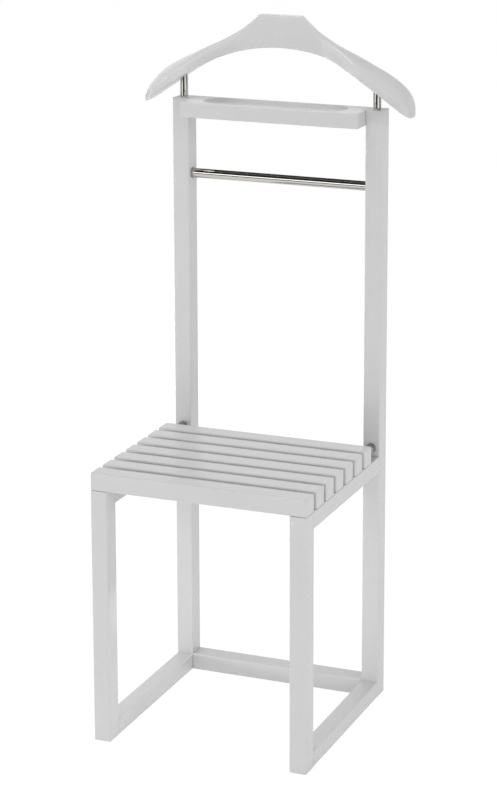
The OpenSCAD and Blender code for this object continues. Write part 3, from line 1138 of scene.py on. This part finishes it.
# Name, place, what it points at, width, height, watts, and the rays that don't see it
LAMPS = [
    ("overhead_softbox", (-0.5, -0.35, 3.4), SEAT, 1.2, 1.2, 27, ()),
    ("front_fill", (1.65, -4.0, 1.8), SEAT, 1.6, 1.6, 12, ("glossy",)),
    ("line_softbox", (-1.5, -3.4, 2.0), SEAT, 2.0, 0.5, 8, ("diffuse",)),
    ("low_front_softbox", (0.2, -1.6, 0.12), LEGS, 1.4, 0.2, 1.5, ("glossy",)),
    ("low_left_softbox", (-2.0, -0.9, 0.15), LEGS, 1.0, 0.2, 14, ()),
    ("low_right_softbox", (2.0, -0.7, 0.12), LEGS, 1.0, 0.2, 2, ("glossy",)),
    ("low_back_softbox", (-1.2, 1.8, 0.3), LEGS, 1.0, 0.3, 5, ("glossy",)),
    ("under_seat_fill", (0, -0.08, 0.29), REAR_FOOT, 0.24, 0.16, 0.21, ("glossy",)),
    ("right_softbox", (3.2, -1.0, 0.9), SEAT, 0.7, 0.9, 8, ()),
    ("high_right_softbox", (3.0, -1.2, 2.2), SEAT, 0.8, 0.6, 9, ()),
]


def camera():
    data = bpy.data.cameras.new("camera")
    data.sensor_width = SENSOR
    data.lens = CAMERA["focal_px"] * SENSOR / PHOTO_HEIGHT_PX
    data.shift_y = -CAMERA["raised"]
    data.clip_end = CLIP_END
    azimuth, elevation = math.radians(CAMERA["azimuth"]), math.radians(CAMERA["elevation"])
    back = Vector(
        (
            math.sin(azimuth) * math.cos(elevation),
            -math.cos(azimuth) * math.cos(elevation),
            math.sin(elevation),
        )
    )
    eye = bpy.data.objects.new("camera", data)
    eye.rotation_mode = "QUATERNION"
    eye.location = Vector(CAMERA["target"]) + back * CAMERA["distance"]
    roll = Quaternion((0, 0, 1), math.radians(CAMERA["roll"]))
    eye.rotation_quaternion = (-back).to_track_quat("-Z", "Y") @ roll
    bpy.context.scene.collection.objects.link(eye)
    bpy.context.scene.camera = eye


def seen_directly(graph):
    """1 on camera, glossy and transmission rays."""
    path = graph.add("ShaderNodeLightPath")
    camera_ray, glossy_ray, through_ray = (
        Value(graph, path.outputs[f"Is {kind} Ray"]) for kind in ("Camera", "Glossy", "Transmission")
    )
    return graph.maths("MAXIMUM", graph.maths("MAXIMUM", camera_ray, glossy_ray), through_ray)


def world():
    """A plain dome of light, white where it is seen directly."""
    studio = bpy.data.worlds.new("studio")
    studio.use_nodes = True
    studio.node_tree.nodes.clear()
    graph = Graph(studio.node_tree)
    strength = seen_directly(graph) * (1.0 - WORLD_LIGHT) + WORLD_LIGHT
    light = graph.out("ShaderNodeBackground", 0, None, {"Color": WHITE, "Strength": strength})
    graph.add("ShaderNodeOutputWorld", None, {"Surface": light})
    bpy.context.scene.world = studio


def floor():
    """A pale floor that looks almost white and keeps the object's shadow."""
    half = FLOOR_SIZE / 2
    material, graph = start_material("pale_floor")
    matt = graph.out("ShaderNodeBsdfDiffuse", 0, None, {"Color": FLOOR_COLOUR})
    white = graph.out("ShaderNodeEmission", 0, None, {"Color": WHITE, "Strength": FLOOR_GLOW})
    keep = seen_directly(graph) * FLOOR_WHITENING
    mixed = graph.out("ShaderNodeMixShader", 0, None, {0: keep, 1: matt, 2: white})
    graph.add("ShaderNodeOutputMaterial", None, {"Surface": mixed})
    level_panel("floor", -half, half, -half, half, 0, material)


def stage_panel(name, corners, material):
    mesh = bpy.data.meshes.new(name)
    mesh.from_pydata(corners, [], [tuple(range(len(corners)))])
    panel = new_object(name, mesh, material)
    panel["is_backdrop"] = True
    return panel


def ring_panels(name, start, end, heights, material):
    """Upright panels in a ring round the set, between two bearings."""
    low, high = heights
    steps = max(1, round((end - start) / RING_STEP))
    for step in range(steps):
        ends = [math.radians(start + (end - start) * (step + k) / steps) for k in (0, 1)]
        (x0, y0), (x1, y1) = [(RING_R * math.sin(a), -RING_R * math.cos(a)) for a in ends]
        corners = [(x0, y0, low), (x1, y1, low), (x1, y1, high), (x0, y0, high)]
        yield stage_panel(name, corners, material)


def plain_card(name, kind, **inputs):
    """A material of one plain shader."""
    material, graph = start_material(name)
    surface = graph.out(kind, 0, None, inputs)
    graph.add("ShaderNodeOutputMaterial", None, {"Surface": surface})
    return material


def level_panel(name, left, right, front, back, height, material):
    outline = [(left, front), (right, front), (right, back), (left, back)]
    return stage_panel(name, [(x, y, height) for x, y in outline], material)


def matt_card(name, colour):
    return plain_card(name, "ShaderNodeBsdfDiffuse", Color=colour)


def reflectors():
    """Painted reflections met by glossy rays alone: dark and grey cards and glowing strips round the
    set, and a grey card under the tray rail as painted shade.
    """
    lo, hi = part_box("tray_rail")
    # Painted shade: a grey card just under the tray rail stands for the rail's shaded underside in the
    # bar's reflection
    painted_shade_flag_box = (lo.x, hi.x, lo.y, hi.y, lo.z - FLAG_GAP)
    panels = [
        level_panel("ceiling_card", *PAINTED_REFLECTION_CEILING, matt_card("painted_dark_reflection_card", PAINTED_DARK_REFLECTION)),
        level_panel("bar_flag", *painted_shade_flag_box, matt_card("painted_shade_grey_card", PAINTED_SHADE_GREY)),
    ]
    # Painted reflections: dark and grey cards that only glossy rays meet
    for start, end, colour in PAINTED_REFLECTION_CARDS:
        painted_reflection_card = matt_card("ring_card", colour)
        panels += ring_panels("ring_card", start, end, RING_HEIGHTS, painted_reflection_card)
    # Painted highlights: strips that glow for glossy rays but light nothing
    painted_highlight_material = plain_card("bright_strip", "ShaderNodeEmission", Color=WHITE, Strength=PAINTED_HIGHLIGHT_GLOW)
    painted_highlight_material.cycles.emission_sampling = "NONE"
    for start, end in RING_PAINTED_HIGHLIGHTS:
        panels += ring_panels("bright_strip", start, end, PAINTED_HIGHLIGHT_HEIGHTS, painted_highlight_material)
    for panel in panels:
        panel.visible_camera = panel.visible_diffuse = panel.visible_shadow = False
        panel.visible_transmission = panel.visible_volume_scatter = False


def lamp(name, place, target, width, height, watts, blind_rays):
    """A soft lamp that the camera doesn't see."""
    data = bpy.data.lights.new(name, "AREA")
    data.shape, data.size, data.size_y, data.energy = "RECTANGLE", width, height, watts
    light = bpy.data.objects.new(name, data)
    light.location = place
    light.rotation_mode = "QUATERNION"
    light.rotation_quaternion = (Vector(target) - Vector(place)).to_track_quat("-Z", "Y")
    for ray in ("camera", *blind_rays):
        setattr(light, "visible_" + ray, False)
    bpy.context.scene.collection.objects.link(light)


def studio():
    bpy.context.scene.view_settings.view_transform = "Standard"
    world()
    floor()
    reflectors()
    for settings in LAMPS:
        lamp(*settings)


# ---------------------------------------------------------------------------------------------
# The chair
# ---------------------------------------------------------------------------------------------

camera()
studio()
make_frame()
tray_rail()
hanger()
make_steel()
make_fasteners()

for low, high in (CAD_BOX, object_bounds()):
    json.dumps([list(low), list(high)]) + "\n"
